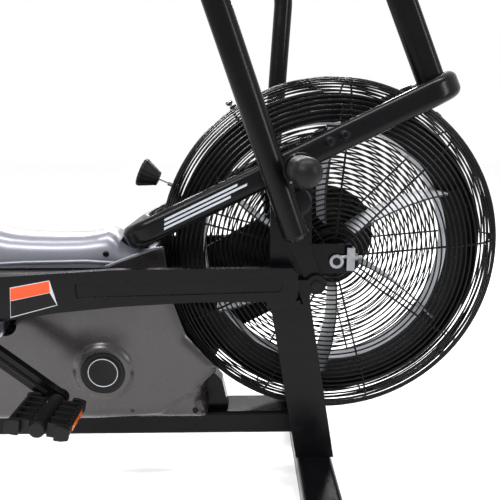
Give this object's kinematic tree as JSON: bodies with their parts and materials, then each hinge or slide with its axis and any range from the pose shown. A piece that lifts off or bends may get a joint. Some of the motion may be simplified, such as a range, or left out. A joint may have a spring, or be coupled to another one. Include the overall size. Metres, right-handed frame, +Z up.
{
  "type": "air bike",
  "caption": "Upright air bike: wire-caged bladed fan on a fork, swinging arms, cranks with pedals, two-stage belt drive, covers and an adjustable saddle.",
  "frame": {"origin": "on the floor, under the middle of the bike's overall length and width", "axes": "+X towards the fan end, +Y towards the rider's left, +Z up"},
  "size_m": [1.3616, 0.704, 1.2559],
  "materials": {
    "frame_black": "satin black powder coat",
    "cage_wire": "gloss black powder coat on wire",
    "shroud_gunmetal": "gunmetal moulded plastic with a fine grain",
    "cover_grey": "light metallic grey moulded plastic",
    "black_plastic": "moulded black plastic",
    "rubber_black": "matte rubber",
    "zinc_steel": "bright zinc plate",
    "black_bolt": "black oxide",
    "blade_grey": "mill-finish sheet",
    "chrome_post": "polished chrome",
    "saddle_vinyl": "embossed black vinyl",
    "button_grey": "moulded grey keys",
    "screen": "dark liquid crystal window"
  },
  "bodies": {
    "frame": {"base_rail": "frame_black", "front_stabilizer": "frame_black", "rear_stabilizer": "frame_black", "stabilizer_caps": "rubber_black", "right_leg": "frame_black", "left_leg": "frame_black", "right_side_rail": "frame_black", "left_side_rail": "frame_black", "head_yoke": "frame_black", "neck_post": "frame_black", "frame_spine": "frame_black", "seat_tube": "frame_black", "console_mast": "frame_black", "console_housing": "black_plastic", "console_screen": "screen", "right_shroud": "shroud_gunmetal", "left_shroud": "shroud_gunmetal", "top_cover": "cover_grey", "belt_guard": "black_plastic", "right_grille": "cage_wire", "left_grille": "cage_wire", "rim_clips": "cage_wire", "fan_axle": "black_bolt", "axle_hardware": "zinc_steel", "arm_pivot_pins": "zinc_steel", "shaft_bearings": "zinc_steel", "frame_bolts": "black_bolt", "lock_bushing": "zinc_steel", "drive_belt": "rubber_black", "fan_belt": "rubber_black"},
    "right_foot": {"right_foot": "rubber_black"},
    "left_foot": {"left_foot": "rubber_black"},
    "right_wheel": {"right_wheel": "rubber_black"},
    "left_wheel": {"left_wheel": "rubber_black"},
    "start_button": {"start_button": "button_grey"},
    "mode_button": {"mode_button": "button_grey"},
    "stop_button": {"stop_button": "button_grey"},
    "safety_lock": {"lock_knob": "black_plastic"},
    "right_arm": {"right_arm": "frame_black", "right_grip": "rubber_black", "right_peg": "rubber_black"},
    "left_arm": {"left_arm": "frame_black", "left_grip": "rubber_black", "left_peg": "rubber_black"},
    "right_link": {"right_link": "frame_black"},
    "left_link": {"left_link": "frame_black"},
    "crank": {"crank_axle": "zinc_steel", "crank_arms": "frame_black", "crank_pulley": "frame_black"},
    "right_pedal": {"right_pedal": "black_plastic"},
    "left_pedal": {"left_pedal": "black_plastic"},
    "jackshaft": {"jackshaft": "zinc_steel"},
    "fan": {"fan_hub": "frame_black", "fan_blades": "blade_grey", "fan_ring": "frame_black"},
    "seat_post": {"seat_post": "chrome_post"},
    "seat_slider": {"seat_slider": "frame_black", "saddle": "saddle_vinyl"},
    "slider_knob": {"slider_knob": "black_plastic"},
    "seat_pin": {"seat_pin": "black_plastic"}
  },
  "joints": [
    {"name": "crank_spin", "type": "hinge", "parent": "frame", "child": "crank", "pos_m": [-0.30513, 0, 0.339], "axis": [0, 1, 0], "continuous": true},
    {"name": "jackshaft_spin", "type": "hinge", "parent": "frame", "child": "jackshaft", "pos_m": [-0.11713, 0, 0.239], "axis": [0, 1, 0], "continuous": true},
    {"name": "fan_spin", "type": "hinge", "parent": "frame", "child": "fan", "pos_m": [0.33487, 0, 0.47], "axis": [0, 1, 0], "continuous": true},
    {"name": "right_pedal_spin", "type": "hinge", "parent": "crank", "child": "right_pedal", "pos_m": [-0.17414, 0, 0.23064], "axis": [0, 1, 0], "continuous": true},
    {"name": "left_pedal_spin", "type": "hinge", "parent": "crank", "child": "left_pedal", "pos_m": [-0.43612, 0, 0.44736], "axis": [0, 1, 0], "continuous": true},
    {"name": "right_arm_swing", "type": "hinge", "parent": "frame", "child": "right_arm", "pos_m": [0.24987, 0, 0.592], "axis": [0, 1, 0], "range_deg": [-2, 25.3]},
    {"name": "left_arm_swing", "type": "hinge", "parent": "frame", "child": "left_arm", "pos_m": [0.24987, 0, 0.592], "axis": [0, 1, 0], "range_deg": [-25.3, 2]},
    {"name": "right_link_turn", "type": "hinge", "parent": "right_arm", "child": "right_link", "pos_m": [0.29389, 0, 0.43299], "axis": [0, 1, 0], "range_deg": [-26, 3]},
    {"name": "left_link_turn", "type": "hinge", "parent": "left_arm", "child": "left_link", "pos_m": [0.2274, 0, 0.42855], "axis": [0, 1, 0], "range_deg": [-3, 26]},
    {"name": "seat_height", "type": "slide", "parent": "frame", "child": "seat_post", "axis": [-0.1564, 0, 0.9877], "range_m": [-0.125, 0]},
    {"name": "seat_fore_aft", "type": "slide", "parent": "seat_post", "child": "seat_slider", "axis": [1, 0, 0], "range_m": [-0.04, 0.04]},
    {"name": "slider_knob_turn", "type": "hinge", "parent": "seat_slider", "child": "slider_knob", "pos_m": [-0.54581, 0, 0.762], "axis": [0, 1, 0], "range_deg": [0, 180]},
    {"name": "seat_pin_pull", "type": "slide", "parent": "frame", "child": "seat_pin", "axis": [0.9877, 0, 0.1564], "range_m": [0, 0.012], "stiffness_N_per_m": 900, "springref_m": -0.004},
    {"name": "safety_lock_push", "type": "slide", "parent": "frame", "child": "safety_lock", "axis": [0.9212, 0, -0.3891], "range_m": [0, 0.018]},
    {"name": "start_button_press", "type": "slide", "parent": "frame", "child": "start_button", "axis": [0.8829, 0, -0.4695], "range_m": [0, 0.002], "stiffness_N_per_m": 400, "springref_m": -0.0005},
    {"name": "mode_button_press", "type": "slide", "parent": "frame", "child": "mode_button", "axis": [0.8829, 0, -0.4695], "range_m": [0, 0.002], "stiffness_N_per_m": 400, "springref_m": -0.0005},
    {"name": "stop_button_press", "type": "slide", "parent": "frame", "child": "stop_button", "axis": [0.8829, 0, -0.4695], "range_m": [0, 0.002], "stiffness_N_per_m": 400, "springref_m": -0.0005},
    {"name": "right_wheel_spin", "type": "hinge", "parent": "frame", "child": "right_wheel", "pos_m": [0.36087, -0.25, 0.026], "axis": [0, 1, 0], "continuous": true},
    {"name": "left_wheel_spin", "type": "hinge", "parent": "frame", "child": "left_wheel", "pos_m": [0.36087, 0.25, 0.026], "axis": [0, 1, 0], "continuous": true},
    {"name": "right_foot_turn", "type": "hinge", "parent": "frame", "child": "right_foot", "pos_m": [-0.63713, -0.27, 0], "axis": [0, 0, 1], "range_deg": [-360, 360]},
    {"name": "left_foot_turn", "type": "hinge", "parent": "frame", "child": "left_foot", "pos_m": [-0.63713, 0.27, 0], "axis": [0, 0, 1], "range_deg": [-360, 360]}
  ],
  "couplings": [
    {"joint": "jackshaft_spin", "follows": "crank_spin", "ratio": 3.25},
    {"joint": "fan_spin", "follows": "crank_spin", "ratio": 11.7},
    {"joint": "left_arm_swing", "follows": "right_arm_swing", "ratio": -1},
    {"joint": "right_link_turn", "follows": "right_arm_swing", "ratio": -1},
    {"joint": "left_link_turn", "follows": "right_arm_swing", "ratio": 1}
  ]
}
